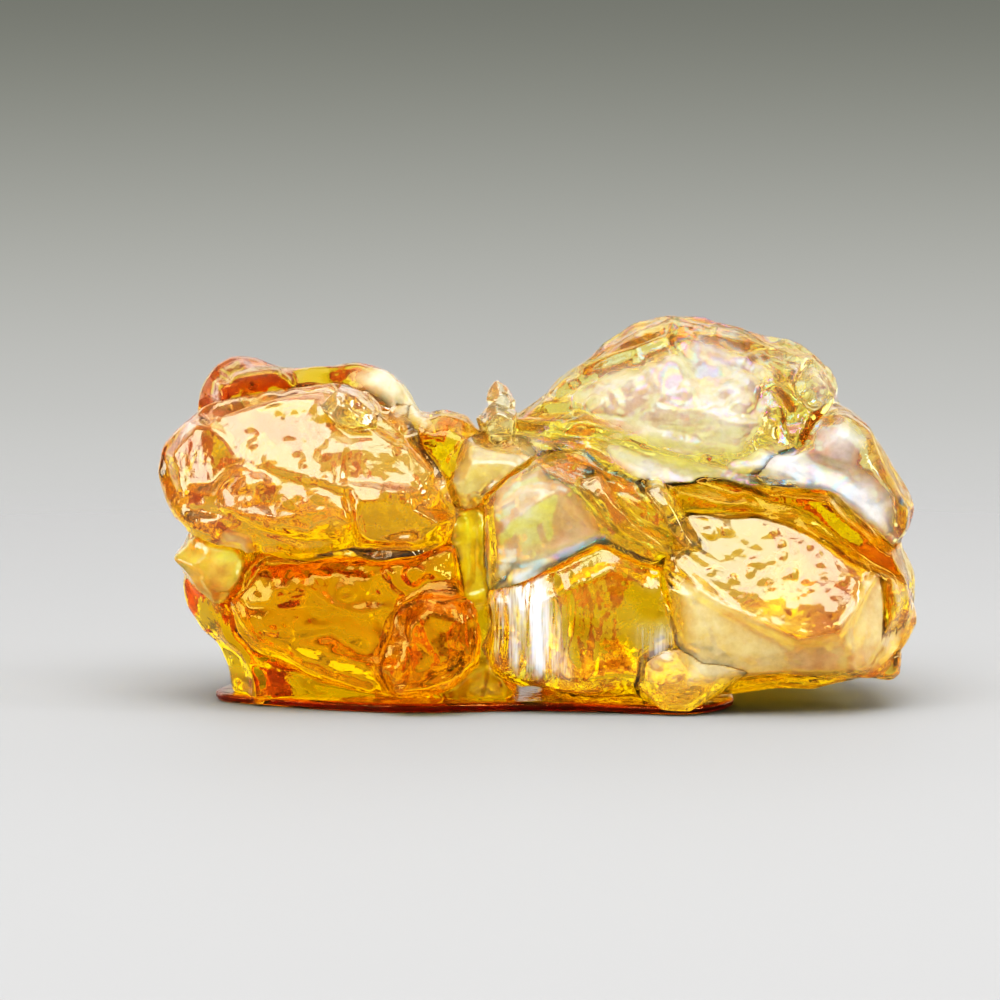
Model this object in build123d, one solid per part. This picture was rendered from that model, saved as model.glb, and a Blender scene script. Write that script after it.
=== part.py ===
"""A lump of amber rosin: two clusters of fractured nuggets, joined by a neck and
a valley web, standing on the thin film where the resin melted and set again.

Millimetres. X runs along the lump, -Y is the front, +Z is up. The origin is the
centre of the footprint box, on the flat face that the lump rests on.

Each nugget is a stack of rings: one outline in the XZ plane, repeated at several
depths and scaled about its own focus, so that every face is flat. Nuggets are
bedded in order: each later one is cut back by those that it leans on, so that
neighbours meet face to face along the seams where the lump would break.
"""

import os

from build123d import *

# ---- driving dimensions ----
WIDTH = 30.0  # overall length along X, which scales the whole lump
DRAWN_WIDTH = 30.0  # the width that the outlines below are drawn at
SCALE = WIDTH / DRAWN_WIDTH

FRONT = -7.6  # depth of the nearest faces
BACK = 8.2  # depth of the furthest faces
SEAM_LEFT = -0.6  # depth where the left front nuggets meet the rear fold
SEAM_RIGHT = -1.6  # depth where the right front blocks meet the core
FLOOR = 0.0  # the resting plane
FILM = 0.35  # thickness of the set film under the lump
OVERHANG = 4.0  # where the right cluster's underside lifts off the film
UNDERCUT = 0.10  # how steeply that underside rises to the right
SLIVER = 0.02  # scraps under this volume in mm3 are crumbs of the cutting, not pieces


# ---- helpers ----
def stack(outline, focus, rings):
    """Solid through scaled copies of an XZ outline.

    rings: (y, scale, shift_x, shift_z) from front to back.
    """
    loops = [
        [
            Vector(focus[0] + (x - focus[0]) * s + dx, y, focus[1] + (z - focus[1]) * s + dz)
            for x, z in outline
        ]
        for y, s, dx, dz in rings
    ]
    faces = [polygon(loops[0]), polygon(loops[-1])]
    for near, far in zip(loops, loops[1:]):
        for i in range(len(outline)):
            j = (i + 1) % len(outline)
            faces.append(polygon([near[i], near[j], far[j], far[i]]))
    return Solid(Shell(faces))


def polygon(points):
    """Flat face through a closed loop of points."""
    return Face(Wire.make_polygon(points, close=True))


def cleave(solid, point, outward):
    """Fractures the solid along a plane and drops the side that outward points to."""
    return split(solid, bisect_by=Plane(origin=point, z_dir=outward), keep=Keep.BOTTOM)


def scar(solid, centre, radius):
    """Scoops out a shallow shell-shaped fracture with a large sphere."""
    return solid - Pos(*centre) * Sphere(radius)


def bed(solid, neighbours):
    """Cuts the solid back to the faces of the nuggets that it leans on."""
    for other in neighbours:
        solid = solid - other
    kept = [s for s in solid.solids() if s.volume > SLIVER]
    largest = max(s.volume for s in kept)
    return Compound([s for s in kept if s.volume > 0.05 * largest])


# ---- left cluster ----
def left_upper_nugget():
    """The pale slab on top of the left cluster, with its face tipped up."""
    outline = [
        (-15.0, 9.3), (-14.7, 10.1), (-13.8, 11.0), (-13.2, 11.5), (-11.4, 12.0),
        (-9.6, 12.4), (-8.0, 12.6), (-6.6, 12.3), (-5.3, 11.3), (-4.3, 9.9),
        (-3.5, 8.8), (-3.1, 7.6), (-3.3, 6.5), (-5.0, 6.15), (-7.4, 6.3),
        (-9.4, 5.95), (-11.4, 6.4), (-13.0, 6.9), (-14.1, 7.5), (-14.6, 8.3),
    ]
    rings = [
        (-6.6, 0.60, 0.3, -0.9),
        (-5.6, 0.84, 0.1, -0.45),
        (-3.4, 1.00, 0.0, 0.0),
        (-0.9, 0.97, 0.2, 0.0),
        (1.2, 0.70, 0.4, -0.2),
    ]
    slab = stack(outline, (-9.0, 9.0), rings)
    slab = cleave(slab, (-13.0, -4.9, 9.6), (-0.70, -0.71, 0.06))
    slab = cleave(slab, (-9.6, -6.3, 8.2), (-0.08, -0.90, 0.43))
    return cleave(slab, (-9.6, -6.1, 7.2), (-0.10, -0.80, -0.59))


def left_rear_fold():
    """The ridge behind the pale slab, rising to a hump at its left end."""
    outline = [
        (-13.3, 11.4), (-13.2, 12.4), (-12.7, 13.2), (-11.9, 13.5), (-10.8, 13.4),
        (-9.7, 12.95), (-8.5, 12.9), (-7.2, 13.05), (-5.9, 12.8), (-5.3, 12.2),
        (-4.9, 11.4), (-4.2, 10.4), (-3.7, 9.2), (-4.2, 6.2), (-11.6, 6.2),
        (-13.9, 8.4),
    ]
    rings = [
        (-1.6, 0.82, 0.0, 0.3),
        (0.2, 1.00, 0.0, 0.0),
        (3.0, 0.94, 0.3, -0.4),
        (5.2, 0.62, 0.8, -1.2),
    ]
    fold = stack(outline, (-8.6, 9.6), rings)
    fold = cleave(fold, (-6.0, 4.2, 11.4), (0.42, 0.60, 0.68))
    return scar(fold, (-9.4, 10.2, 11.6), 6.0)


def face_nub():
    """A small chip set into the top of the pale slab."""
    outline = [
        (-8.3, 11.9), (-7.7, 12.45), (-7.1, 12.3), (-6.5, 11.8), (-6.2, 11.2),
        (-7.0, 10.9), (-7.7, 11.1),
    ]
    rings = [(-5.3, 0.55, -0.1, -0.1), (-4.8, 1.0, 0.0, 0.0), (-3.2, 0.9, 0.1, 0.2)]
    return stack(outline, (-7.2, 11.6), rings)


def left_lower_nugget():
    """The deep orange wedge under the pale slab, running to a point at the base."""
    outline = [
        (-12.0, 4.0), (-11.4, 5.4), (-10.6, 6.1), (-7.4, 6.1), (-3.2, 6.5),
        (-2.9, 5.4), (-2.8, 3.4), (-3.0, 1.8), (-4.4, 0.9), (-5.7, 0.55),
        (-7.2, 0.9), (-9.1, 1.6), (-10.9, 2.4), (-11.7, 3.1),
    ]
    rings = [
        (-6.2, 0.72, 0.2, 0.0),
        (-5.4, 0.93, 0.0, 0.0),
        (-3.6, 1.00, 0.0, 0.0),
        (SEAM_LEFT, 0.92, 0.0, 0.3),
    ]
    wedge = stack(outline, (-7.0, 3.4), rings)
    return cleave(wedge, (-9.6, -5.4, 2.4), (-0.32, -0.66, -0.68))


def ledge_tooth():
    """The rounded lobe at the wedge's right end, under a small pale ledge."""
    outline = [
        (-5.3, 4.05), (-4.5, 4.5), (-3.9, 4.95), (-3.1, 4.5), (-2.6, 4.0),
        (-2.35, 2.9), (-2.5, 1.9), (-3.3, 1.15), (-4.4, 0.8), (-5.4, 0.6),
        (-5.9, 1.6), (-5.7, 3.0),
    ]
    rings = [
        (-7.3, 0.66, 0.1, -0.1),
        (-6.7, 0.90, 0.0, 0.0),
        (-5.2, 1.00, 0.0, 0.0),
        (-3.6, 0.85, -0.1, 0.1),
    ]
    return stack(outline, (-4.1, 2.6), rings)


def side_ear():
    """The thin flake that glows at the left side of the cluster."""
    outline = [
        (-14.2, 5.85), (-13.4, 6.5), (-13.0, 7.0), (-12.1, 6.9), (-11.4, 6.5),
        (-11.1, 5.8), (-11.3, 5.1), (-11.9, 4.45), (-12.7, 4.2), (-13.4, 4.7),
        (-13.8, 5.3),
    ]
    rings = [
        (-4.9, 0.60, 0.1, 0.0),
        (-4.3, 0.90, 0.0, 0.0),
        (-3.0, 1.00, 0.0, 0.0),
        (-1.4, 0.72, 0.4, 0.0),
    ]
    return stack(outline, (-12.5, 5.6), rings)


def melted_foot():
    """The stem behind the wedge, which melted down on to the resting plane."""
    outline = [
        (-13.7, 5.0), (-13.6, 3.9), (-13.1, 3.0), (-12.3, 2.3), (-12.0, 1.3),
        (-11.9, FLOOR), (-3.2, FLOOR), (-2.8, 3.0), (-3.1, 6.2), (-8.0, 7.4),
        (-12.6, 6.8),
    ]
    rings = [
        (-3.7, 0.86, 0.4, -0.5),
        (-1.8, 1.00, 0.0, 0.0),
        (2.4, 0.96, 0.2, 0.0),
        (5.0, 0.66, 0.8, -0.8),
    ]
    foot = scar(stack(outline, (-8.0, 2.6), rings), (-6.6, 10.8, 3.8), 6.9)
    return cleave(foot, (0, 0, FLOOR), (0, 0, -1))


# ---- the join between the clusters ----
def neck_bridge():
    """The orange neck between the tops of the two clusters."""
    outline = [
        (-5.2, 11.2), (-4.4, 11.15), (-3.8, 11.3), (-2.8, 11.05), (-2.4, 10.6),
        (-2.1, 9.9), (-2.5, 9.1), (-3.4, 8.4), (-4.4, 8.6), (-5.0, 9.8),
    ]
    rings = [
        (-3.2, 0.66, 0.1, -0.2),
        (-2.4, 0.94, 0.0, 0.0),
        (-0.6, 1.00, 0.0, 0.0),
        (2.6, 0.76, 0.0, -0.4),
    ]
    return stack(outline, (-3.6, 9.9), rings)


def neck_fold():
    """The pearly fold of resin that sags across the front of the neck."""
    outline = [
        (-2.6, 10.35), (-1.7, 10.3), (0.2, 10.2), (-0.6, 9.4), (-1.5, 8.4),
        (-2.1, 8.0), (-3.1, 7.85), (-3.4, 8.5), (-2.9, 9.3),
    ]
    rings = [
        (-4.4, 0.55, -0.1, -0.1),
        (-3.7, 0.90, 0.0, 0.0),
        (-2.4, 1.00, 0.0, 0.0),
        (-0.4, 0.84, 0.1, 0.1),
    ]
    return stack(outline, (-1.9, 9.2), rings)


def valley_web():
    """The orange web that fills the valley between the clusters."""
    outline = [
        (-3.4, 8.1), (-2.0, 8.0), (-1.4, 6.0), (-1.4, 3.4), (-1.0, 1.2),
        (-0.8, FLOOR), (-3.6, FLOOR), (-3.2, 1.6), (-3.0, 3.6), (-3.4, 6.0),
    ]
    rings = [
        (-4.3, 0.84, 0.0, -0.5),
        (-3.4, 1.00, 0.0, 0.0),
        (0.6, 1.00, 0.1, 0.0),
        (2.8, 0.72, 0.0, -0.8),
    ]
    return cleave(stack(outline, (-2.4, 3.6), rings), (0, 0, FLOOR), (0, 0, -1))


def crumb_base():
    """The lower of two crumbs stuck on the neck."""
    outline = [
        (-2.45, 11.1), (-2.0, 11.5), (-1.6, 11.8), (-1.1, 11.6), (-0.7, 11.4),
        (-0.7, 10.5), (-1.6, 10.0), (-2.2, 10.4),
    ]
    rings = [(-2.3, 0.6, 0.0, -0.1), (-1.6, 1.0, 0.0, 0.0), (-0.4, 0.8, 0.1, 0.0)]
    return stack(outline, (-1.5, 11.0), rings)


def crumb_tip():
    """The pointed crystal on top of the lower crumb."""
    outline = [
        (-1.85, 11.9), (-1.7, 12.25), (-1.4, 12.6), (-1.0, 12.3), (-0.75, 11.85),
        (-0.75, 11.2), (-1.6, 11.3),
    ]
    rings = [(-1.7, 0.5, 0.0, -0.1), (-1.2, 1.0, 0.0, 0.0), (-0.5, 0.7, 0.1, -0.1)]
    return stack(outline, (-1.25, 11.9), rings)


# ---- right cluster ----
def right_dome():
    """The tall iridescent dome, the highest nugget of the lump."""
    outline = [
        (-1.9, 10.4), (-0.5, 11.3), (0.4, 12.0), (1.5, 13.0), (2.7, 13.8),
        (3.4, 14.2), (4.1, 14.75), (5.2, 15.1), (6.6, 14.9), (7.1, 14.65),
        (8.3, 14.6), (10.2, 14.0), (11.2, 13.4), (11.8, 12.6), (12.0, 11.3),
        (11.7, 9.0), (9.0, 9.3), (3.0, 8.9), (-0.8, 9.4),
    ]
    rings = [
        (-4.9, 0.50, 0.2, -1.1),
        (-3.6, 0.78, 0.1, -0.55),
        (-1.4, 0.95, 0.0, -0.1),
        (0.8, 1.00, 0.0, 0.0),
        (4.2, 0.88, 0.2, -0.4),
        (6.6, 0.56, 0.4, -1.0),
    ]
    dome = stack(outline, (5.6, 10.6), rings)
    dome = cleave(dome, (1.2, 4.0, 11.4), (-0.52, 0.66, 0.54))
    dome = cleave(dome, (9.6, 4.2, 12.6), (0.44, 0.62, 0.65))
    return scar(dome, (6.4, 11.0, 15.0), 6.8)


def right_shoulder():
    """The smooth tongue of resin below the dome, with a pearly lens at its top."""
    outline = [
        (7.7, 9.2), (8.6, 9.85), (9.4, 10.2), (10.4, 10.1), (11.1, 10.9), (11.7, 11.6),
        (12.3, 11.5), (12.9, 11.0), (13.2, 10.3), (13.8, 9.3), (14.4, 8.5), (14.75, 7.8),
        (14.6, 7.0), (14.2, 6.5), (13.0, 7.5), (11.9, 8.3), (10.4, 8.8),
    ]
    rings = [
        (-5.3, 0.66, 0.1, -0.1),
        (-4.7, 0.90, 0.0, 0.0),
        (-3.0, 1.00, 0.0, 0.0),
        (0.2, 0.97, 0.0, 0.0),
        (2.6, 0.86, -0.3, 0.0),
        (4.8, 0.58, -1.0, -0.4),
    ]
    return stack(outline, (12.0, 9.1), rings)


def amber_core():
    """The clear amber heart, bare along the valley between dome and blocks."""
    outline = [
        (0.6, 9.9), (5.6, 10.2), (9.4, 9.8), (11.6, 9.1), (13.1, 7.7), (14.3, 6.2),
        (14.85, 5.1), (15.05, 4.0), (14.5, 2.6), (13.0, 1.1), (9.0, 0.4), (1.0, -0.4),
        (-1.6, 3.0), (-1.4, 7.6),
    ]
    rings = [
        (-5.6, 0.72, 0.9, -0.4),
        (-4.2, 0.90, 0.3, -0.2),
        (-1.2, 1.00, 0.0, 0.0),
        (4.0, 0.95, -0.2, 0.0),
        (BACK, 0.62, -0.6, -0.4),
    ]
    core = stack(outline, (7.2, 5.0), rings)
    core = cleave(core, (12.4, 4.6, 5.6), (0.70, 0.66, 0.28))
    core = cleave(core, (0.4, 5.2, 4.0), (-0.62, 0.74, 0.26))
    core = cleave(core, (OVERHANG, 0.0, FILM), (UNDERCUT, 0.0, -1.0))
    core = scar(core, (6.0, 14.0, 2.6), 7.0)
    return cleave(core, (0, 0, FLOOR), (0, 0, -1))


def cloudy_block():
    """The cloudy, bubbly block at the front right, with a broken end face."""
    outline = [
        (5.2, 8.0), (6.8, 7.75), (8.6, 7.75), (10.0, 7.4), (11.6, 6.4), (13.4, 5.3),
        (14.3, 4.85), (14.85, 4.1), (14.9, 3.2), (14.3, 2.4), (13.6, 1.4),
        (11.6, 1.25), (8.0, 1.1), (6.6, 1.1), (5.0, 3.0), (4.6, 5.6),
    ]
    rings = [
        (FRONT, 0.62, -0.3, -0.5),
        (-6.8, 0.84, -0.1, -0.2),
        (-5.0, 0.985, 0.0, 0.0),
        (-3.2, 1.00, 0.0, 0.0),
        (SEAM_RIGHT, 0.94, 0.0, 0.0),
    ]
    block = stack(outline, (9.6, 4.4), rings)
    block = cleave(block, (12.9, -6.2, 3.8), (0.83, -0.55, 0.06))
    block = cleave(block, (9.4, -6.9, 5.6), (0.10, -0.80, 0.59))
    return cleave(block, (9.6, -5.6, 1.6), (0.05, -0.50, -0.86))


def clear_window():
    """The clear block above the dark crack at the front of the right cluster."""
    outline = [
        (-1.9, 8.2), (-1.0, 9.2), (0.3, 9.9), (1.9, 10.1), (3.2, 9.4), (5.0, 8.3),
        (6.2, 6.8), (5.2, 5.8), (2.6, 6.6), (0.4, 5.8), (-1.8, 4.6),
    ]
    rings = [
        (-6.2, 0.66, -0.1, -0.3),
        (-5.3, 0.90, 0.0, -0.1),
        (-3.6, 1.00, 0.0, 0.0),
        (SEAM_RIGHT, 0.92, 0.2, 0.0),
    ]
    return stack(outline, (2.0, 7.4), rings)


def striated_block():
    """The block under the crack, streaked by the flow of the setting resin."""
    outline = [
        (-1.8, 4.55), (0.4, 5.75), (2.6, 6.55), (5.2, 5.75), (6.4, 4.4),
        (7.2, 2.6), (6.8, 1.0), (4.6, 0.7), (2.0, 0.7), (0.4, 0.8), (-1.4, 1.4),
        (-2.0, 2.4), (-1.7, 3.4),
    ]
    rings = [
        (-6.7, 0.68, 0.1, 0.0),
        (-5.8, 0.92, 0.0, 0.0),
        (-4.0, 1.00, 0.0, 0.0),
        (SEAM_RIGHT, 0.93, 0.2, 0.0),
    ]
    return stack(outline, (2.6, 3.4), rings)


def front_toe():
    """The rounded toe that props up the front of the right cluster."""
    outline = [
        (3.9, 1.5), (4.3, 0.6), (4.9, FLOOR), (5.9, FLOOR), (7.2, 0.9), (8.1, 1.7),
        (7.4, 2.5), (6.2, 3.0), (4.9, 2.9), (4.1, 2.4),
    ]
    rings = [
        (-7.0, 0.62, 0.0, -0.05),
        (-6.5, 0.90, 0.0, 0.0),
        (-5.6, 1.00, 0.0, 0.0),
        (-4.4, 0.86, 0.0, 0.0),
    ]
    toe = stack(outline, (5.8, 1.6), rings)
    return cleave(toe, (0, 0, FLOOR), (0, 0, -1))


def upper_splinter():
    """The longer bright splinter beside the cleft."""
    outline = [(4.2, 8.75), (4.7, 8.9), (5.6, 7.9), (6.6, 6.5), (6.3, 6.4), (5.0, 7.6)]
    rings = [(-6.7, 0.55, 0.0, -0.1), (-6.2, 1.0, 0.0, 0.0), (-4.8, 0.9, 0.0, 0.1)]
    return stack(outline, (5.4, 7.6), rings)


def lower_splinter():
    """The crooked splinter that closes the lower side of the cleft."""
    outline = [
        (1.7, 9.3), (2.4, 9.4), (3.0, 8.5), (3.8, 7.5), (5.9, 6.4), (5.6, 6.1),
        (3.4, 6.9), (2.4, 8.0),
    ]
    rings = [(-6.6, 0.6, 0.0, -0.1), (-6.1, 1.0, 0.0, 0.0), (-4.8, 0.9, 0.0, 0.1)]
    return stack(outline, (3.4, 7.7), rings)


def corner_chip():
    """The little amber chip that hangs under the right end."""
    outline = [(13.1, 1.35), (13.9, 1.15), (14.15, 1.4), (14.3, 2.5), (13.7, 2.3)]
    rings = [(-4.9, 0.6, 0.0, 0.0), (-4.4, 1.0, 0.0, 0.0), (-3.4, 0.8, 0.0, 0.0)]
    return stack(outline, (13.8, 1.8), rings)


def contact_film():
    """The film of set resin between the lump and what it rests on."""
    plan = [
        (-11.9, -2.8), (-8.8, -4.6), (-5.4, -5.8), (-1.6, -5.4), (2.4, -5.6),
        (6.2, -6.2), (7.8, -3.6), (6.4, 1.2), (2.6, 4.4), (-2.4, 3.2),
        (-7.6, 4.6), (-11.6, 2.2),
    ]
    with BuildSketch() as sketch:
        with BuildLine():
            Spline(*plan, periodic=True)
        make_face()
    return extrude(sketch.sketch, FILM).solid()


# ---- assembly: front pieces keep their shape, and those behind are cut to them ----
ORDER = [
    contact_film,
    face_nub, upper_splinter, lower_splinter, front_toe, corner_chip, ledge_tooth,
    side_ear, left_upper_nugget, left_lower_nugget, neck_fold, clear_window,
    striated_block, cloudy_block, crumb_tip, crumb_base, neck_bridge, left_rear_fold,
    right_shoulder, right_dome, melted_foot, amber_core, valley_web,
]


def assemble():
    """All nuggets by name, each cut back by those earlier in the order."""
    placed = {}
    for make in ORDER:
        placed[make.__name__] = bed(make(), placed.values())
    return placed


def export(placed):
    """Moves the footprint's centre to the origin, scales and writes each nugget."""
    box = Compound(list(placed.values())).bounding_box()
    centre = box.center()
    to_origin = Location((-centre.X, -centre.Y, -box.min.Z))
    os.makedirs("parts", exist_ok=True)
    for name, shape in placed.items():
        export_step(scale(to_origin * shape, by=SCALE), f"parts/{name}.step")
        print(name, "volume", round(shape.volume, 2), "solids", len(shape.solids()))
    print("overall", box.size, "centre", centre)


export(assemble())
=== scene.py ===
"""A lump of amber rosin, seen close up: clear and milky resin around a fixed CAD frame."""

import math

import bmesh
import bpy
import numpy as np
from mathutils import Matrix, Vector
from mathutils.bvhtree import BVHTree


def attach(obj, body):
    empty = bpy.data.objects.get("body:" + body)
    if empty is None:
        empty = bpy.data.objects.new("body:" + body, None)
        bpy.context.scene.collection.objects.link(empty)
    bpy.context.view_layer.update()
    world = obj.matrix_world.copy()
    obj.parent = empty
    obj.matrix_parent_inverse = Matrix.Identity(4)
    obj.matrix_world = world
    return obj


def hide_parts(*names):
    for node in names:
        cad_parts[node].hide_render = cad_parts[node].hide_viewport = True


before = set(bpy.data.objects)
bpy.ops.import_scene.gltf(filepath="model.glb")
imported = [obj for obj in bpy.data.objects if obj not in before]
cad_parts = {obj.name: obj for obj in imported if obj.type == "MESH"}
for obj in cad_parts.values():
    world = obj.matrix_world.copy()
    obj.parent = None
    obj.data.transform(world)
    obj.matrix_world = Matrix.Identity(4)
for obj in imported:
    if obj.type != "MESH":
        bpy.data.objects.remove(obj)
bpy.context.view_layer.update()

# ---- sizes: millimetres unless a name says otherwise ----
MM = 0.001
SEED = 7
WELD = 0.002  # CAD points this close are one point
REACH = 0.3  # how far a nugget feels its neighbours
CLOSING = 0.45  # seams up to twice this wide are bridged by the shared skin
HULL_VOXEL = 0.13
HULL_ROUNDS = 9  # rounds of smoothing
SKIN_REACH = 0.8  # how far from the hull a point still belongs to it
FACET_SOFT = 0.22  # how softly a facet starts at its outline
FACET_CUT = 0.9  # the most that a facet moves the hull
DROP_SHARE = 0.6  # share of its listed height that a drop rises
PIT_SHARE = 0.38  # share of its listed depth that a pit sinks
HAZE_AND_HIGHLIGHT_SHARE = 0.65  # share of its listed strength that each patch has, haze and painted highlight alike
HAZE_AND_HIGHLIGHT_SOFT = 0.55  # how softly each patch, haze and painted highlight alike, starts at its outline
SCARS = 45  # how many scars cover the back, ends and top
CAMERA_DISTANCE = 200.0
CAMERA_TILT = math.radians(5)
TO_CAMERA = np.array((0.0, -math.cos(CAMERA_TILT), math.sin(CAMERA_TILT)))
AIM = (-1.44, 7.8)  # where the camera points: beside the middle of the lump and above its base

# the picture's S-curve: display levels from 0 to 255 before and after it
CONTRAST = ((22, 8), (48, 27), (80, 57), (112, 97), (150, 147), (185, 191), (220, 229), (240, 245))


# ---- noise ----
def lattice(seed):
    """A shuffled table and a set of directions for gradient noise."""
    rng = np.random.default_rng(seed)
    table = rng.permutation(256)
    way = rng.normal(size=(256, 3))
    return np.concatenate([table, table]), way / np.linalg.norm(way, axis=1)[:, None]


def noise(points, size, seed):
    """Smooth gradient noise of about -1 to 1, whose lumps are size apart."""
    table, way = lattice(SEED + seed)
    p = points / size + 37.3
    cell = np.floor(p).astype(int)
    f = p - cell
    u = f * f * f * (f * (f * 6 - 15) + 10)
    total = np.zeros(len(p))
    for corner in np.ndindex(2, 2, 2):
        at = (cell + corner) & 255
        spot = table[table[table[at[:, 0]] + at[:, 1]] + at[:, 2]]
        share = np.prod(np.where(corner, u, 1 - u), axis=1)
        total += share * np.einsum("ij,ij->i", way[spot], f - corner)
    return total * 1.6


def ridged(points, size, seed):
    """Noise with sharp creases, 0 in the hollows and 1 on the ridges."""
    return 1 - np.abs(noise(points, size, seed))


def ease(value, low, high):
    """0 below low, 1 above high and smooth between."""
    t = np.clip((value - low) / (high - low), 0, 1)
    return t * t * (3 - 2 * t)


# ---- meshes ----
def evened(mesh, voxel, rounds, weld=None):
    """The mesh with even faces and rounded edges, after points within weld of each other are joined."""
    temp = bpy.data.objects.new("temp", mesh)
    bpy.context.scene.collection.objects.link(temp)
    if weld:
        temp.modifiers.new("weld", "WELD").merge_threshold = weld
    remesh = temp.modifiers.new("remesh", "REMESH")
    remesh.mode = "VOXEL"
    remesh.voxel_size = voxel
    smooth = temp.modifiers.new("smooth", "SMOOTH")
    smooth.factor = 0.5
    smooth.iterations = rounds
    made = bpy.data.meshes.new_from_object(temp.evaluated_get(bpy.context.evaluated_depsgraph_get()))
    bpy.data.objects.remove(temp)
    return made


def resampled(node, voxel, rounds):
    """The CAD node's mesh in millimetres, with even faces and rounded edges."""
    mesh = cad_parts[node].data.copy()
    mesh.transform(Matrix.Scale(1 / MM, 4))
    mesh.materials.clear()
    return evened(mesh, voxel, rounds, WELD)


def vectors(collection, name):
    """An (n, 3) array of one vector property of a mesh's elements."""
    flat = np.empty(len(collection) * 3, np.float32)
    collection.foreach_get(name, flat)
    return flat.reshape(-1, 3).astype(float)


def put_points(mesh, points):
    mesh.vertices.foreach_set("co", points.astype(np.float32).ravel())
    mesh.update()


def apparent(p):
    """Where points appear to the camera: (x, height) in mm on the upright plane through the origin."""
    across = p[:, 0] - AIM[0]
    up = p[:, 2] - AIM[1]
    cos, sin = math.cos(CAMERA_TILT), math.sin(CAMERA_TILT)
    away = CAMERA_DISTANCE + p[:, 1] * cos - up * sin
    grow = CAMERA_DISTANCE / away
    return np.stack([AIM[0] + across * grow, AIM[1] + (up * cos + p[:, 1] * sin) * grow], axis=1)


# ---- the nuggets ----
# node: voxel, rounds of smoothing, swell, grain
NUGGETS = {
    "left_upper_nugget": (0.08, 3, 0.12, 0.7),
    "left_lower_nugget": (0.09, 3, 0.12, 1.0),
    "neck_fold": (0.07, 3, 0.12, 0.5),
    "clear_window": (0.08, 3, 0.12, 0.4),
    "striated_block": (0.08, 3, 0.12, 0.3),
    "cloudy_block": (0.08, 3, 0.12, 0.6),
    "neck_bridge": (0.07, 3, 0.12, 1.0),
    "left_rear_fold": (0.11, 3, 0.12, 0.7),
    "right_shoulder": (0.09, 3, 0.12, 0.3),
    "right_dome": (0.09, 3, 0.12, 0.9),
    "melted_foot": (0.12, 3, 0.12, 0.7),
    "amber_core": (0.15, 3, 0.12, 0.1),
    "valley_web": (0.10, 3, 0.12, 0.5),
    "front_toe": (0.08, 3, 0.12, 0.2),
    "ledge_tooth": (0.08, 3, 0.12, 1.1),
    "side_ear": (0.07, 3, 0.12, 1.0),
}
LOOSE = {
    "contact_film": (0.14, 2, 0.0, 0.0),
    "face_nub": (0.05, 4, 0.1, 1.5),
    "upper_splinter": (0.06, 3, 0.08, 1.0),
    "lower_splinter": (0.06, 3, 0.08, 1.0),
    "corner_chip": (0.05, 3, 0.08, 1.0),
    "crumb_tip": (0.04, 2, 0.04, 1.0),
    "crumb_base": (0.05, 2, 0.06, 1.0),
}
SIZES = {**NUGGETS, **LOOSE}


def wander(p):
    """The same gentle warp for every nugget, so that meeting walls stay together but are never flat."""
    shift = np.stack([noise(p, 2.2, 10 + k) for k in range(3)], 1) * 0.26
    shift += np.stack([noise(p, 0.9, 20 + k) for k in range(3)], 1) * 0.06
    return p + shift * ease(p[:, 2], 0.2, 1.2)[:, None]


def swollen(node):
    """The nugget's mesh, grown a little so that it overlaps its neighbours."""
    voxel, rounds, swell, _ = SIZES[node]
    mesh = resampled(node, voxel, rounds)
    p = vectors(mesh.vertices, "co") + swell * vectors(mesh.vertex_normals, "vector")
    put_points(mesh, p if node == "contact_film" else wander(p))
    return mesh


def triangles(mesh):
    """An (n, 3) array of the vertex numbers of a mesh's triangles."""
    mesh.calc_loop_triangles()
    flat = np.empty(len(mesh.loop_triangles) * 3, np.int32)
    mesh.loop_triangles.foreach_get("vertices", flat)
    return flat.reshape(-1, 3)


def largest_island(tris, count):
    """True for each of count points that is on the connected surface with the most points."""
    island = np.arange(count)
    while True:
        low = island[tris].min(axis=1)
        spread = island.copy()
        for corner in range(3):
            np.minimum.at(spread, tris[:, corner], low)
        spread = spread[spread]
        if (spread == island).all():
            return island == np.bincount(island).argmax()
        island = spread


def trim(mesh):
    """Removes the loose crumbs that remeshing leaves beside a nugget."""
    kept = largest_island(triangles(mesh), len(mesh.vertices))
    if kept.all():
        return
    work = bmesh.new()
    work.from_mesh(mesh)
    bmesh.ops.delete(work, geom=[v for v in work.verts if not kept[v.index]], context="VERTS")
    work.to_mesh(mesh)
    work.free()


def tree_of(points, faces):
    return BVHTree.FromPolygons(points.tolist(), faces.tolist())


def clearance(p, solids):
    """How far each point is outside every solid: negative inside one, at most REACH."""
    clear = np.full(len(p), REACH)
    for tree, low, high in solids:
        for i in np.where(((p > low - REACH) & (p < high + REACH)).all(axis=1))[0]:
            at = Vector(p[i])
            spot, way, _, distance = tree.find_nearest(at, REACH)
            if spot is not None:
                signed = -distance if (at - spot).dot(way) < 0 else distance
                clear[i] = min(clear[i], signed)
    return clear


meshes = {node: swollen(node) for node in SIZES}
solids = {}
for node, mesh in meshes.items():
    p = vectors(mesh.vertices, "co")
    solids[node] = (tree_of(p, triangles(mesh)), p.min(0), p.max(0))


# ---- the hull: one skin over all the fused nuggets, carved and then shared out to them ----
def outer_hull():
    """Points, normals and triangles of a smooth skin around the fused nuggets."""
    points, faces, start = [], [], 0
    for node in NUGGETS:
        p = vectors(meshes[node].vertices, "co") + CLOSING * vectors(meshes[node].vertex_normals, "vector")
        points.append(p)
        faces.append(triangles(meshes[node]) + start)
        start += len(p)
    joined = bpy.data.meshes.new("joined")
    joined.from_pydata(np.concatenate(points).tolist(), [], np.concatenate(faces).tolist())
    skin = evened(joined, HULL_VOXEL, HULL_ROUNDS)
    n, tris = vectors(skin.vertex_normals, "vector"), triangles(skin)
    p = vectors(skin.vertices, "co") - CLOSING * n
    return p, n, tris[largest_island(tris, len(p))[tris[:, 0]]]


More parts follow.
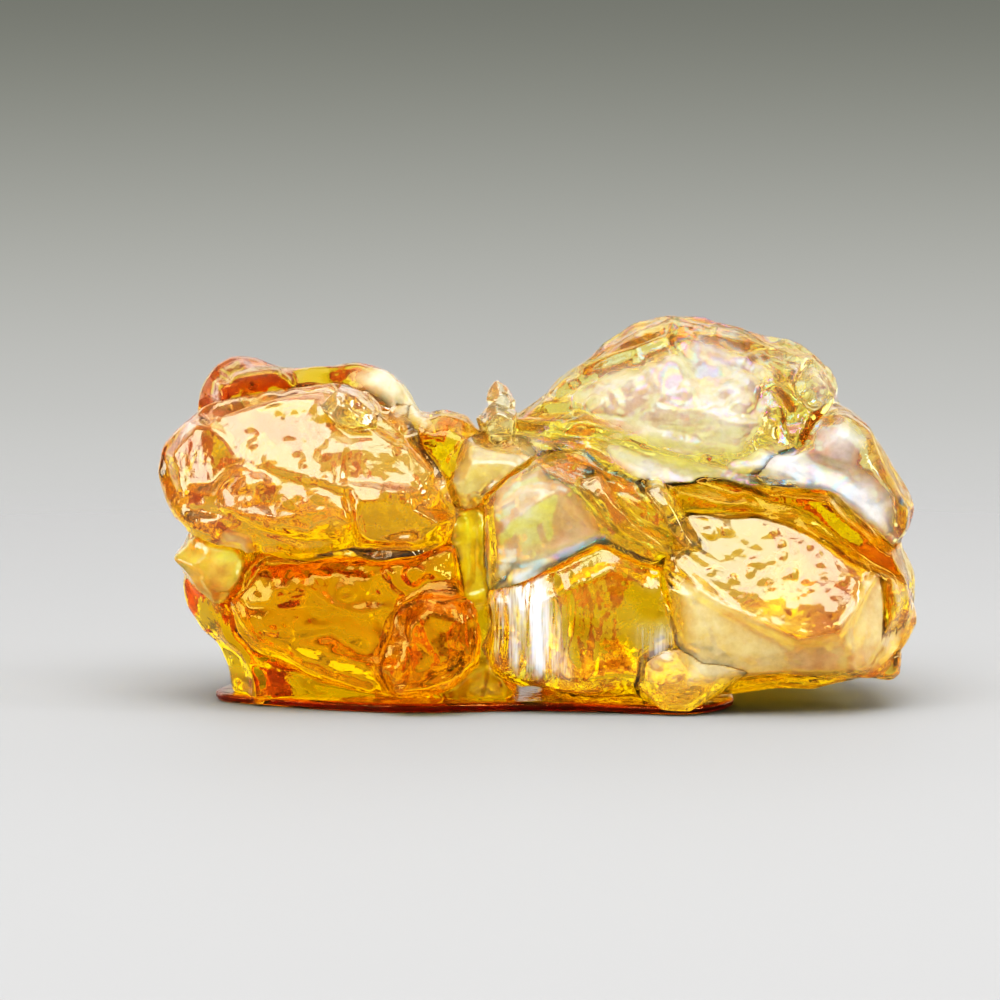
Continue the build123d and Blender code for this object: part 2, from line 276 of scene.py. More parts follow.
def line_gap(flat, line):
    """Distance of flat points to a polyline."""
    gap = np.full(len(flat), 1e9)
    for a, b in zip(line, line[1:]):
        a, b = np.array(a, float), np.array(b, float)
        along = np.clip(((flat - a) @ (b - a)) / ((b - a) @ (b - a)), 0, 1)
        gap = np.minimum(gap, np.linalg.norm(flat - a - along[:, None] * (b - a), axis=1))
    return gap


def inside(flat, outline, soft):
    """1 inside a closed outline and 0 outside, easing over soft mm at its edge."""
    crossing = np.zeros(len(flat), bool)
    for a, b in zip(outline, outline[1:] + outline[:1]):
        rises = (a[1] > flat[:, 1]) != (b[1] > flat[:, 1])
        if a[1] != b[1]:
            at = a[0] + (flat[:, 1] - a[1]) * (b[0] - a[0]) / (b[1] - a[1])
            crossing ^= rises & (flat[:, 0] < at)
    gap = line_gap(flat, outline + outline[:1])
    return ease(np.where(crossing, gap, -gap), -soft, soft)


# broken faces seen from the front: outline as (x, height), slope along x, slope along height, share
FACETS = [
    # left cluster: flat left end, tipped-up top face, granular lower facets, window
    ([(-14.7, 9.7), (-13.4, 11.2), (-12.2, 10.3), (-12.0, 9.2), (-12.9, 8.2), (-14.3, 8.3)],
     -0.57, 0.02, 0.9),
    ([(-12.9, 11.2), (-8.5, 12.1), (-7.9, 11.0), (-7.7, 8.2), (-10.2, 8.9), (-11.9, 9.4)], -0.1, 0.6, 0.8),
    ([(-7.8, 11.0), (-6.3, 10.4), (-5.0, 9.9), (-4.0, 8.9), (-4.4, 8.3), (-7.6, 8.2)], 0.12, 0.42, 0.8),
    ([(-12.8, 8.2), (-11.7, 9.0), (-11.0, 8.6), (-11.3, 7.3)], -0.4, 0.35, 0.8),
    ([(-11.2, 7.6), (-11.0, 8.8), (-10.3, 8.3), (-10.4, 7.2)], 0.3, -0.1, 0.8),
    ([(-10.2, 8.2), (-8.3, 8.1), (-7.9, 7.3), (-9.2, 6.3), (-10.7, 7.0)], -0.15, 0.25, 0.8),
    ([(-7.2, 8.0), (-5.6, 7.9), (-4.6, 7.4), (-3.5, 7.0), (-4.2, 6.4), (-6.6, 6.1), (-7.1, 6.6)],
     0.1, -0.2, 0.8),
    # left lower: sloping ledge over the tooth
    ([(-5.4, 3.7), (-4.4, 4.7), (-3.2, 4.5), (-2.8, 3.8)], 0.1, 0.9, 0.8),
    # right cluster: tipped-up cloudy face, its lower face, its end, the clear window
    ([(5.4, 5.4), (7.2, 7.0), (9.4, 7.1), (11.2, 6.4), (13.2, 4.9), (12.7, 3.2), (12.1, 2.4), (10.4, 2.2),
      (8.5, 3.0)], 0.0, 0.5, 0.8),
    ([(5.0, 4.7), (8.3, 2.9), (10.3, 1.9), (12.2, 2.1), (13.1, 1.0), (8.0, 0.75), (6.2, 0.6)],
     0.05, -0.15, 0.7),
    ([(12.6, 2.6), (13.3, 4.4), (13.9, 4.2), (14.2, 3.2), (13.9, 2.0), (13.3, 1.1), (12.6, 1.1)],
     0.5, 0.15, 0.8),
    ([(-1.7, 8.2), (0.0, 9.1), (1.8, 8.1), (2.8, 6.4), (0.4, 5.3), (-1.8, 4.5)], -0.1, 0.12, 0.5),
    # right cluster: deep amber band and the cream band above it
    ([(7.5, 8.8), (11.0, 8.4), (13.0, 7.1), (14.2, 5.9), (14.9, 4.5), (13.3, 5.0), (12.0, 6.0), (11.0, 7.0),
      (9.0, 8.0)], 0.1, -0.15, 0.8),
    ([(7.8, 9.1), (9.5, 9.7), (11.0, 9.5), (12.5, 9.0), (13.6, 7.6), (13.9, 6.5), (13.0, 7.3), (11.8, 8.2),
      (10.0, 8.9)], 0.15, 0.7, 0.8),
    # dome: upper left slope, pearly middle, right shoulder of drops
    ([(1.4, 12.6), (3.2, 13.9), (5.0, 14.6), (5.3, 13.6), (3.6, 12.8), (2.0, 11.9)], -0.35, 0.5, 0.6),
    ([(5.6, 13.9), (6.6, 14.6), (8.4, 14.2), (8.6, 13.0), (7.4, 12.4), (6.2, 12.6)], 0.1, 0.75, 0.6),
    ([(4.0, 12.4), (6.0, 12.4), (7.0, 11.2), (5.8, 10.6), (3.4, 11.0)], -0.2, 0.3, 0.5),
]

# strokes on the front: line as (x, height), half width, height over the skin
STROKES = [
    # left: ribbon groove and its lips
    ([(-13.3, 11.3), (-11.8, 11.9), (-10.0, 12.3), (-8.5, 12.6), (-7.4, 12.6), (-6.6, 12.2), (-5.8, 11.6),
      (-5.3, 10.9), (-4.8, 10.2), (-4.3, 9.7), (-3.7, 9.0)], 0.28, -0.7),
    ([(-12.6, 12.4), (-10.5, 12.85), (-8.5, 13.0), (-7.2, 13.0), (-6.0, 12.6), (-5.2, 11.7), (-4.6, 10.8)],
     0.2, 0.16),
    ([(-12.9, 11.0), (-10.5, 11.8), (-8.6, 12.2)], 0.15, 0.12),
    ([(-6.9, 11.9), (-6.3, 11.0), (-5.5, 10.4), (-4.7, 9.7), (-4.1, 9.0)], 0.16, 0.2),
    ([(-12.8, 12.9), (-12.0, 12.3), (-11.0, 12.3), (-10.2, 12.7)], 0.16, -0.14),
    # left: cleft between the lower lobes, rim over the window, bevel below
    ([(-7.55, 8.1), (-7.4, 7.2), (-7.35, 6.0)], 0.16, -0.3),
    ([(-7.7, 8.3), (-6.6, 8.25), (-5.6, 8.1), (-4.6, 8.0), (-3.8, 8.3)], 0.2, 0.16),
    ([(-13.9, 7.4), (-12.4, 7.2), (-10.8, 6.5), (-9.2, 6.1), (-8.0, 6.1)], 0.16, -0.1),
    ([(-12.7, 7.7), (-11.5, 7.0), (-10.4, 6.5), (-9.6, 6.3)], 0.08, 0.08),
    ([(-8.1, 10.9), (-7.5, 10.4), (-6.6, 10.5)], 0.3, -0.14),
    # left lower: dark seam, jagged bright edge, rim of the tooth, curl of the ear
    ([(-11.0, 5.3), (-9.0, 5.4), (-8.0, 5.7), (-6.0, 5.75), (-4.4, 5.8), (-3.3, 6.2)], 0.2, -0.3),
    ([(-12.0, 3.6), (-11.5, 2.7), (-11.0, 2.1), (-10.2, 1.9), (-9.3, 1.3), (-8.0, 0.7), (-6.6, 0.25)],
     0.15, 0.22),
    ([(-12.2, 3.1), (-11.6, 2.2), (-11.0, 1.6), (-10.0, 1.3), (-8.8, 0.7)], 0.2, -0.16),
    ([(-5.4, 3.55), (-4.6, 3.75), (-3.6, 3.7), (-2.9, 3.85)], 0.08, 0.14),
    ([(-2.9, 3.85), (-2.6, 3.2), (-2.5, 2.2), (-2.7, 1.3), (-3.4, 0.7), (-4.5, 0.3), (-5.6, 0.2)],
     0.12, 0.14),
    ([(-5.2, 3.4), (-5.3, 2.4), (-4.9, 1.5), (-5.3, 0.8)], 0.2, -0.1),
    ([(-4.6, 3.0), (-4.3, 2.2), (-3.8, 1.6)], 0.2, 0.1),
    ([(-11.2, 5.9), (-11.1, 5.3), (-11.5, 4.6), (-12.0, 4.1), (-12.6, 3.9)], 0.12, -0.24),
    ([(-12.4, 6.3), (-11.7, 6.2), (-11.45, 5.6), (-11.8, 4.9)], 0.14, 0.16),
    ([(-13.3, 4.6), (-12.9, 3.9), (-12.2, 3.8)], 0.1, 0.1),
    ([(-9.2, 5.0), (-8.8, 4.8), (-8.5, 4.5)], 0.1, 0.08),
    ([(-11.6, 3.5), (-9.8, 3.4), (-8.4, 3.7)], 0.2, -0.08),
    ([(-6.0, 5.0), (-5.6, 4.4), (-5.2, 4.1)], 0.12, 0.16),
    ([(-10.4, 4.2), (-9.0, 4.3), (-8.2, 3.6), (-6.9, 3.3), (-5.9, 3.5)], 0.2, 0.14),
    ([(-9.6, 2.2), (-8.2, 2.4), (-7.0, 1.6), (-5.8, 1.5)], 0.24, -0.14),
    ([(-7.0, 5.2), (-6.6, 4.6), (-6.4, 3.0), (-5.8, 2.4)], 0.2, -0.12),
    # right: shelf edges fanning from the neck
    ([(-2.2, 10.4), (-0.5, 10.2), (1.5, 9.9), (3.0, 9.2), (4.6, 8.5), (5.8, 8.0), (7.2, 7.6), (8.8, 7.5)],
     0.16, 0.18),
    ([(-2.0, 10.1), (0.5, 9.6), (2.2, 9.3), (3.3, 8.6), (4.6, 8.0)], 0.18, -0.14),
    ([(-1.5, 11.0), (0.0, 10.8), (2.0, 10.9), (3.6, 10.4), (5.6, 9.6), (7.4, 9.0)], 0.2, 0.14),
    ([(-1.2, 10.6), (0.5, 10.4), (2.4, 10.4), (4.2, 9.6), (6.0, 8.8), (8.0, 8.1)], 0.16, -0.14),
    ([(0.5, 11.3), (2.0, 11.4), (3.8, 11.0), (6.0, 10.4)], 0.2, -0.1),
    ([(0.2, 12.0), (0.9, 11.9), (1.6, 12.3)], 0.14, -0.1),
    ([(5.9, 7.9), (6.8, 7.45), (7.8, 7.25), (8.9, 7.4), (9.4, 7.2), (10.5, 6.75)], 0.09, -0.16),
    ([(0.0, 9.7), (1.3, 9.4), (2.2, 8.8), (2.9, 8.3)], 0.12, 0.1),
    # right: dark cleft between two bright ridges
    ([(1.9, 8.4), (2.5, 7.7), (3.1, 6.9), (4.0, 6.3), (5.2, 5.6)], 0.2, 0.26),
    ([(4.2, 8.4), (4.8, 7.6), (5.6, 6.8), (6.3, 6.1)], 0.16, 0.24),
    ([(2.8, 8.2), (3.6, 7.4), (4.6, 6.8), (5.6, 6.1)], 0.28, -0.42),
    ([(1.6, 9.0), (2.4, 8.5), (3.6, 8.4), (4.4, 8.2)], 0.14, 0.14),
    # right: curled groove under the drops
    ([(8.9, 10.1), (9.6, 9.8), (10.3, 9.75), (10.8, 10.2), (11.0, 10.7), (11.4, 11.0), (12.1, 11.0)],
     0.13, -0.3),
    ([(8.4, 9.7), (9.6, 9.4), (10.6, 9.4), (11.2, 9.8)], 0.22, 0.14),
    # right: lips of the amber band, jagged edge of the end face
    ([(7.6, 7.5), (9.2, 7.3), (10.6, 6.7), (12.0, 5.9), (13.4, 4.9), (14.2, 4.5)], 0.12, 0.16),
    ([(8.0, 9.1), (10.0, 8.9), (11.8, 8.2), (13.0, 7.4), (13.9, 6.5)], 0.3, 0.14),
    ([(13.5, 4.7), (13.1, 4.2), (12.8, 3.6), (12.5, 3.1), (12.2, 2.6)], 0.1, 0.16),
    ([(5.0, 5.0), (7.0, 3.8), (8.6, 3.0), (10.3, 2.1), (12.1, 2.3)], 0.14, 0.08),
    # right: bright wedge of the striated block
    ([(-0.7, 4.6), (-0.3, 3.2), (0.0, 1.8), (0.3, 0.9)], 0.3, 0.12),
    ([(-1.3, 4.3), (-1.0, 3.0), (-0.7, 1.6)], 0.25, -0.12),
    ([(0.5, 4.8), (0.9, 3.4), (1.1, 1.8), (1.6, 0.9)], 0.25, -0.12),
    # dome: rings, drops and folds
    ([(2.0, 11.6), (2.3, 11.9), (2.7, 11.8), (2.6, 11.5), (2.2, 11.4), (2.0, 11.6)], 0.09, 0.1),
    ([(1.5, 11.3), (1.6, 12.0), (2.3, 12.4), (3.1, 12.1), (3.4, 11.5)], 0.12, 0.1),
    ([(5.2, 10.2), (5.5, 10.5), (5.9, 10.3), (5.6, 10.1), (5.2, 10.2)], 0.09, 0.1),
    ([(9.6, 12.2), (9.95, 11.8), (10.2, 11.3), (10.1, 10.8)], 0.13, -0.24),
    ([(10.2, 13.5), (10.9, 13.4), (11.3, 13.0)], 0.14, 0.16),
    ([(10.9, 13.2), (10.5, 12.7), (10.6, 12.1), (11.1, 11.7)], 0.13, -0.22),
    ([(11.6, 13.0), (11.9, 12.3), (11.7, 11.6)], 0.16, 0.14),
    ([(2.0, 13.0), (3.2, 13.5), (4.5, 13.9), (5.3, 14.2), (5.5, 15.0)], 0.14, 0.14),
    ([(5.6, 14.0), (6.4, 13.3), (6.6, 12.4), (7.6, 11.8)], 0.25, -0.14),
    ([(4.2, 13.0), (4.6, 12.2), (4.0, 11.5), (3.4, 11.2)], 0.25, -0.12),
    ([(7.2, 14.6), (7.0, 13.9), (7.8, 13.4), (9.0, 13.6)], 0.2, 0.12),
    ([(8.6, 13.1), (9.3, 12.6), (9.0, 11.8), (8.6, 11.2)], 0.22, -0.14),
    ([(7.0, 11.2), (7.8, 10.8), (8.8, 10.9)], 0.2, 0.1),
    # window: two broad curls
    ([(-1.6, 7.6), (-0.6, 8.4), (0.6, 8.5)], 0.2, -0.1),
    ([(-1.4, 6.4), (-0.8, 7.0), (0.2, 7.0), (0.4, 6.3)], 0.2, 0.08),
    ([(1.2, 8.0), (1.8, 7.2), (2.2, 6.6)], 0.2, 0.1),
    # web: flow lines down the valley
    ([(-2.9, 7.4), (-2.8, 5.5), (-2.6, 4.0)], 0.14, 0.14),
    ([(-2.4, 7.2), (-2.3, 5.0), (-2.1, 3.0)], 0.12, -0.2),
    ([(-3.0, 7.4), (-2.6, 6.2), (-2.7, 4.6), (-2.4, 3.2)], 0.1, 0.16),
    ([(-2.7, 7.8), (-2.1, 6.6), (-2.2, 5.2)], 0.12, 0.14),
]

# drops and pits on the front: (x, height), radius, height over the skin
SPOTS = [
    # left top face
    (-11.4, 10.4, 0.25, -0.16), (-11.3, 10.05, 0.18, 0.12), (-10.3, 11.1, 0.2, -0.12),
    (-9.7, 11.1, 0.22, -0.14), (-9.9, 10.1, 0.25, -0.12), (-9.5, 9.4, 0.28, -0.18),
    (-9.3, 9.3, 0.14, 0.14), (-8.5, 9.6, 0.3, 0.16),
    (-8.3, 8.8, 0.32, -0.2), (-8.45, 8.65, 0.16, 0.16), (-8.6, 11.3, 0.35, 0.18), (-7.9, 9.9, 0.5, 0.1),
    (-10.6, 9.5, 0.3, 0.1), (-5.9, 9.6, 0.3, 0.08), (-9.0, 8.6, 0.2, 0.1), (-4.9, 8.6, 0.2, 0.12),
    (-6.8, 8.2, 0.2, 0.14), (-7.4, 8.1, 0.2, 0.16), (-5.7, 8.0, 0.16, 0.12), (-5.0, 7.7, 0.18, 0.16),
    (-4.3, 8.4, 0.2, 0.16), (-3.7, 8.6, 0.22, 0.16), (-3.4, 7.9, 0.2, 0.14), (-4.4, 7.6, 0.16, 0.1),
    (-11.6, 8.4, 0.25, 0.12), (-11.5, 7.2, 0.2, 0.12), (-8.6, 6.9, 0.22, 0.1), (-7.6, 6.9, 0.2, 0.08),
    (-12.3, 12.6, 0.3, -0.16), (-12.1, 12.3, 0.16, 0.14), (-11.8, 13.3, 0.25, 0.1), (-12.6, 12.0, 0.3, 0.12),
    (-4.6, 10.6, 0.28, 0.24), (-5.8, 11.2, 0.16, 0.12), (-5.5, 12.2, 0.25, 0.12), (-3.6, 10.4, 0.25, -0.12),
    # left lower
    (-10.6, 2.6, 0.2, 0.2), (-10.1, 2.65, 0.13, 0.16), (-7.6, 4.1, 0.42, 0.3), (-7.6, 4.1, 0.16, -0.3),
    (-4.9, 4.8, 0.42, 0.34), (-4.9, 4.8, 0.16, -0.3), (-9.6, 4.6, 0.3, 0.2), (-10.5, 4.6, 0.22, 0.2),
    (-12.6, 5.6, 0.5, 0.12), (-8.9, 2.6, 0.5, 0.2), (-6.9, 2.2, 0.6, -0.2), (-3.6, 2.6, 0.3, -0.2),
    (-6.5, 3.9, 0.3, -0.2), (-8.6, 3.6, 0.4, 0.2), (-5.9, 4.9, 0.2, 0.2), (-6.2, 1.3, 0.5, 0.2),
    # dome
    (11.2, 12.5, 0.45, 0.24), (10.3, 12.9, 0.3, 0.14), (9.5, 12.5, 0.3, 0.14), (11.5, 11.9, 0.2, -0.12),
    (9.7, 11.5, 0.22, 0.16), (9.2, 10.9, 0.35, -0.16), (9.7, 10.7, 0.25, -0.12), (10.5, 10.5, 0.35, 0.2),
    (11.0, 11.3, 0.22, 0.12), (8.9, 11.4, 0.14, -0.1), (9.2, 11.5, 0.1, 0.08),
    (6.0, 12.2, 0.3, 0.12), (5.6, 12.3, 0.14, -0.12), (8.5, 12.7, 0.3, 0.12), (8.3, 11.7, 0.5, 0.14),
    (8.4, 13.4, 0.25, 0.1), (4.1, 13.5, 0.2, 0.14), (6.5, 13.7, 0.35, -0.12), (8.6, 10.0, 0.2, 0.16),
    (7.6, 9.5, 0.22, 0.14), (7.4, 10.6, 0.3, 0.12), (6.2, 9.9, 0.4, 0.14), (3.0, 13.0, 0.4, -0.12),
    (4.9, 13.1, 0.35, -0.12), (5.9, 14.3, 0.3, 0.12), (7.0, 14.2, 0.3, -0.1), (4.3, 9.7, 0.22, 0.1),
    (8.3, 7.75, 0.3, 0.14), (5.3, 8.7, 0.2, 0.1), (3.2, 8.6, 0.14, 0.1), (3.8, 8.5, 0.12, 0.1),
    # cloudy face
    (6.9, 6.5, 0.25, 0.12), (7.6, 6.6, 0.2, 0.12), (9.6, 6.2, 0.3, -0.14), (9.8, 6.1, 0.14, 0.14),
    (8.7, 5.3, 0.2, 0.12), (11.4, 5.0, 0.25, -0.14), (11.5, 4.8, 0.12, 0.12), (12.3, 4.6, 0.18, 0.12),
    (8.6, 4.9, 0.16, 0.12), (7.9, 4.6, 0.18, 0.12), (7.0, 4.9, 0.16, 0.12), (10.3, 4.9, 0.2, 0.1),
    (10.2, 3.4, 0.2, 0.1), (9.2, 4.2, 0.35, -0.12), (10.9, 2.8, 0.4, -0.1), (11.8, 3.3, 0.2, 0.1),
    (12.9, 5.3, 0.16, 0.12), (13.1, 5.1, 0.12, 0.1), (9.9, 5.6, 0.16, 0.1), (8.0, 5.8, 0.18, 0.1),
    # shoulder, toe
    (12.0, 10.0, 0.9, 0.12), (12.9, 9.0, 0.3, 0.14), (13.3, 8.0, 0.25, 0.18), (13.7, 7.6, 0.25, -0.16),
    (14.2, 7.5, 0.22, 0.16), (13.6, 8.6, 0.2, 0.12), (14.3, 6.8, 0.2, -0.1), (13.2, 8.8, 0.15, -0.12),
    (4.9, 1.2, 0.18, -0.14), (3.1, 3.9, 0.3, 0.08), (2.7, 3.2, 0.12, 0.1), (5.2, 3.6, 0.12, 0.08),
]

# scattered grit of small drops and pits: middle (x, height), spread, how many, size, height
GRIT = [
    ((-9.8, 10.2), (2.2, 1.1), 22, 0.09, 0.03), ((-6.2, 9.2), (1.6, 1.0), 12, 0.09, 0.03),
    ((-10.4, 7.6), (1.9, 0.7), 26, 0.12, 0.07), ((-4.8, 8.1), (1.4, 0.5), 22, 0.10, 0.07),
    ((9.4, 5.2), (3.0, 1.3), 34, 0.09, 0.03), ((9.6, 12.2), (2.2, 1.5), 30, 0.12, 0.07),
    ((6.2, 12.8), (2.2, 1.2), 18, 0.12, 0.05), ((3.4, 8.9), (1.6, 0.4), 16, 0.10, 0.07),
    ((13.6, 7.7), (0.7, 1.1), 14, 0.12, 0.08), ((-3.9, 2.2), (1.0, 1.3), 12, 0.12, 0.06),
    ((-8.6, 3.2), (2.6, 1.5), 18, 0.14, 0.05), ((9.6, 2.2), (2.4, 0.8), 12, 0.12, 0.04),
]

# haze on the skin, and painted highlights made with haze on the ear and the rear fold, seen from the front:
# outline as (x, height), share
HAZE_AND_HIGHLIGHTS = [
    # left: top face in two halves, granular facets, pale bevel, ledge over the tooth, ear with a painted
    # highlight at its core
    ([(-13.0, 11.1), (-8.5, 12.1), (-7.5, 11.0), (-7.3, 8.2), (-10.2, 8.8), (-12.0, 9.2)], 0.13),
    ([(-7.8, 11.0), (-6.3, 10.4), (-5.0, 9.9), (-3.5, 8.9), (-3.4, 7.6), (-4.6, 7.8), (-7.6, 8.2)], 0.05),
    ([(-12.9, 8.3), (-11.7, 9.1), (-8.0, 8.1), (-7.5, 6.4), (-9.2, 6.0), (-11.4, 6.8)], 0.05),
    ([(-14.6, 9.7), (-13.3, 11.2), (-12.0, 10.3), (-12.0, 9.2), (-12.9, 8.2), (-14.3, 8.3)], 0.04),
    ([(-14.2, 8.0), (-13.8, 7.0), (-10.0, 6.0), (-8.4, 6.0), (-8.4, 6.3), (-12.0, 7.3)], 0.08),
    ([(-5.4, 3.7), (-4.4, 4.6), (-2.9, 4.3), (-2.8, 3.8)], 0.14),
    ([(-13.8, 5.6), (-13.0, 6.4), (-11.5, 6.3), (-11.2, 5.3), (-11.9, 4.2), (-13.2, 4.4)], 0.16),
    # painted highlight at the ear's core, made with haze
    ([(-12.8, 5.5), (-12.3, 6.4), (-11.6, 6.2), (-11.4, 5.4), (-12.0, 5.0)], 1.1),
    # left: top of the rear fold, a painted highlight made with haze on its right end, neck
    ([(-13.0, 12.0), (-12.4, 13.4), (-11.4, 13.6), (-9.9, 13.2), (-9.6, 12.9), (-11.0, 12.5)], 0.04),
    # painted highlight on the right end of the rear fold, made with cream haze
    ([(-7.0, 12.7), (-6.0, 13.0), (-4.9, 11.9), (-4.4, 10.9), (-5.2, 11.3)], 0.9),
    ([(-4.0, 8.2), (-2.6, 9.9), (0.2, 10.2), (0.0, 9.2), (-1.7, 8.2), (-3.0, 7.6)], 0.3),
    # right: cloudy face, lower face, end, shoulder, dome, shelf, toe, wedge, window
    ([(5.2, 5.2), (5.6, 6.2), (7.2, 7.1), (9.4, 7.2), (11.2, 6.5), (13.2, 5.0), (12.7, 3.2), (12.1, 2.6),
      (10.4, 2.4), (8.5, 3.2)], 0.03),
    ([(6.0, 4.3), (8.3, 3.1), (10.3, 2.0), (12.2, 2.2), (13.1, 1.0), (8.0, 0.75), (6.2, 0.6)], 1.0),
    ([(12.4, 2.7), (13.3, 4.6), (14.6, 4.5), (14.9, 3.2), (14.3, 2.0), (13.3, 1.0), (12.3, 1.1)], 0.8),
    ([(7.8, 9.1), (9.5, 9.9), (11.0, 9.6), (12.5, 9.2), (13.9, 8.0), (14.3, 6.2), (13.0, 7.2), (11.8, 8.1),
      (10.0, 8.8)], 0.6),
    ([(11.2, 10.6), (12.2, 11.0), (13.0, 10.2), (12.6, 9.2), (11.4, 9.2)], 0.42),
    ([(1.2, 12.0), (3.0, 12.9), (5.4, 13.5), (6.4, 14.2), (8.0, 13.7), (9.4, 13.0), (9.0, 12.5), (8.2, 9.8),
      (6.0, 9.6), (3.5, 10.6)], 0.32),
    ([(9.6, 13.4), (10.8, 13.6), (11.7, 12.8), (11.6, 11.6), (11.0, 12.0), (10.6, 12.8)], 0.2),
    ([(8.0, 12.0), (9.6, 12.2), (9.4, 11.4), (8.6, 10.0), (7.6, 10.2)], 0.2),
    ([(3.0, 9.8), (6.0, 9.2), (8.4, 8.6), (8.0, 7.8), (5.8, 8.2), (4.0, 9.0)], 0.7),
    ([(4.2, 2.6), (6.5, 2.8), (7.9, 1.4), (6.5, 0.5), (4.5, 0.4)], 0.3),
    ([(-1.9, 4.3), (0.2, 5.0), (0.9, 3.0), (1.2, 0.8), (-0.4, 0.7), (-1.8, 1.6)], 0.5),
    ([(-0.9, 4.7), (0.0, 4.8), (0.3, 3.0), (0.5, 0.9), (0.1, 0.9), (-0.4, 2.6)], 1.3),
    ([(-1.6, 8.3), (0.0, 9.1), (1.8, 8.1), (2.7, 6.4), (0.4, 5.2), (-1.8, 4.5)], 0.3),
    ([(-3.1, 7.6), (-2.2, 7.8), (-1.8, 5.0), (-1.9, 1.0), (-2.6, 0.8), (-3.0, 3.0)], 0.5),
]


def spot_gap(flat, x, z, radius):
    """Squared distance of flat points from (x, z), in squares of the radius."""
    return ((flat[:, 0] - x) ** 2 + (flat[:, 1] - z) ** 2) / radius ** 2


def carved(points, normals):
    """The hull with its broad lumps, facets, strokes, drops, pits and grit."""
    flat = apparent(points)
    front = ease(normals @ TO_CAMERA, 0.0, 0.2)
    p = points.copy()
    p += normals * (0.12 * noise(points, 3.1, 1))[:, None]
    for outline, slope_x, slope_z, share in FACETS:
        weight = inside(flat, outline, FACET_SOFT) * front
        core = weight > 0.5
        if core.sum() < 10:
            continue
        middle = p[core].mean(axis=0)
        plane = middle[1] + slope_x * (p[:, 0] - middle[0]) + slope_z * (p[:, 2] - middle[2])
        p[:, 1] += np.clip(plane - p[:, 1], -FACET_CUT, FACET_CUT) * weight * share
    lift = np.zeros(len(p))
    for line, width, height in STROKES:
        lift += height * np.exp(-(line_gap(flat, line) / width) ** 2)
    for x, z, radius, height in SPOTS:
        share = DROP_SHARE if height > 0 else PIT_SHARE
        lift += share * height * np.exp(-spot_gap(flat, x, z, radius) ** 2)
    rng = np.random.default_rng(SEED)
    for middle, span, count, size, height in GRIT:
        for x, z in np.array(middle) + rng.uniform(-1, 1, (count, 2)) * span:
            radius = size * rng.uniform(0.7, 1.7)
            tall = height * rng.choice((-1.0, 1.0)) * rng.uniform(0.5, 1.4)
            lift += tall * np.exp(-spot_gap(flat, x, z, radius))
    p += normals * (lift * front)[:, None]
    return p


def haze(p):
    """Share of haze painted on the front of the skin, with painted highlights made with haze on the ear and
    the rear fold.
    """
    flat = apparent(p)
    share = np.zeros(len(p))
    for outline, amount in HAZE_AND_HIGHLIGHTS:
        share = np.maximum(share, HAZE_AND_HIGHLIGHT_SHARE * amount * inside(flat, outline, HAZE_AND_HIGHLIGHT_SOFT))
    return share * (p[:, 1] < 2.0)


def broken(points, normals, rng):
    """Shallow shell-like scars all round the back, ends and top."""
    p = points.copy()
    back = ease(normals[:, 1], 0.05, 0.4)
    pool = np.where((normals[:, 1] > 0.3) & (points[:, 2] > 1.0))[0]
    for i in rng.choice(pool, SCARS):
        radius = rng.uniform(1.2, 3.0)
        tilt = normals[i] + 0.25 * rng.normal(size=3)
        tilt /= np.linalg.norm(tilt)
        gap = np.linalg.norm(points - points[i], axis=1)
        height = (p - points[i]) @ tilt + 0.12 * radius
        rib = 0.015 * np.sin(gap * 7.0)
        p -= tilt * (np.clip(height + rib, 0, 0.6) * (1 - ease(gap, radius * 0.75, radius)) * back)[:, None]
    return p


hull, hull_normals, hull_faces = outer_hull()
carving = broken(carved(hull, hull_normals), hull_normals, np.random.default_rng(SEED))
carving[:, 2] = np.where(hull[:, 2] < 0.6, np.minimum(carving[:, 2], hull[:, 2] + 0.05), carving[:, 2])
hull_tree = tree_of(hull, hull_faces)


def shared_skin(p):
    """For points near the hull: the carved place, the normal there, and the depth under the hull."""
    place, normal, depth = p.copy(), np.zeros_like(p), np.full(len(p), 9.0)
    found, faces, spots, signs = [], [], [], []
    for i, at in enumerate(p):
        at = Vector(at)
        spot, way, face, distance = hull_tree.find_nearest(at, SKIN_REACH)
        if spot is not None:
            found.append(i)
            faces.append(face)
            spots.append(spot)
            signs.append(distance if (at - spot).dot(way) < 0 else -distance)
    found, spots = np.array(found), np.array(spots)
    a, b, c = (hull_faces[faces][:, k] for k in range(3))
    ab, ac, at = hull[b] - hull[a], hull[c] - hull[a], spots - hull[a]
    across = np.cross(ab, ac)
    area = np.maximum((across * across).sum(1), 1e-12)
    u = (np.cross(at, ac) * across).sum(1) / area
    v = (np.cross(ab, at) * across).sum(1) / area
    share = np.clip(np.stack([1 - u - v, u, v], 1), 0, 1)[:, :, None]
    corners = np.stack([a, b, c], 1)
    place[found] = (carving[corners] * share).sum(1)
    way = (hull_normals[corners] * share).sum(1)
    normal[found] = way / np.linalg.norm(way, axis=1)[:, None]
    depth[found] = signs
    return place, normal, depth


def grain(p, strength):
    """Fine unevenness of set resin, in mm."""
    rough = 0.02 * noise(p, 0.9, 2) + 0.02 * (ridged(p, 1.3, 5) - 0.6)
    return strength * (rough + 0.014 * noise(p, 0.42, 3) + 0.007 * noise(p, 0.2, 4))


def streaks(across, along, size, seed):
    """Uneven parallel lines: noise that changes quickly across and slowly along."""
    fine = noise(np.stack([across / size, along * 0.22, along * 0.1], 1), 1.0, seed)
    broad = noise(np.stack([across / size / 2.7, along * 0.15, along * 0.1], 1), 1.0, seed + 1)
    return fine + 1.2 * broad


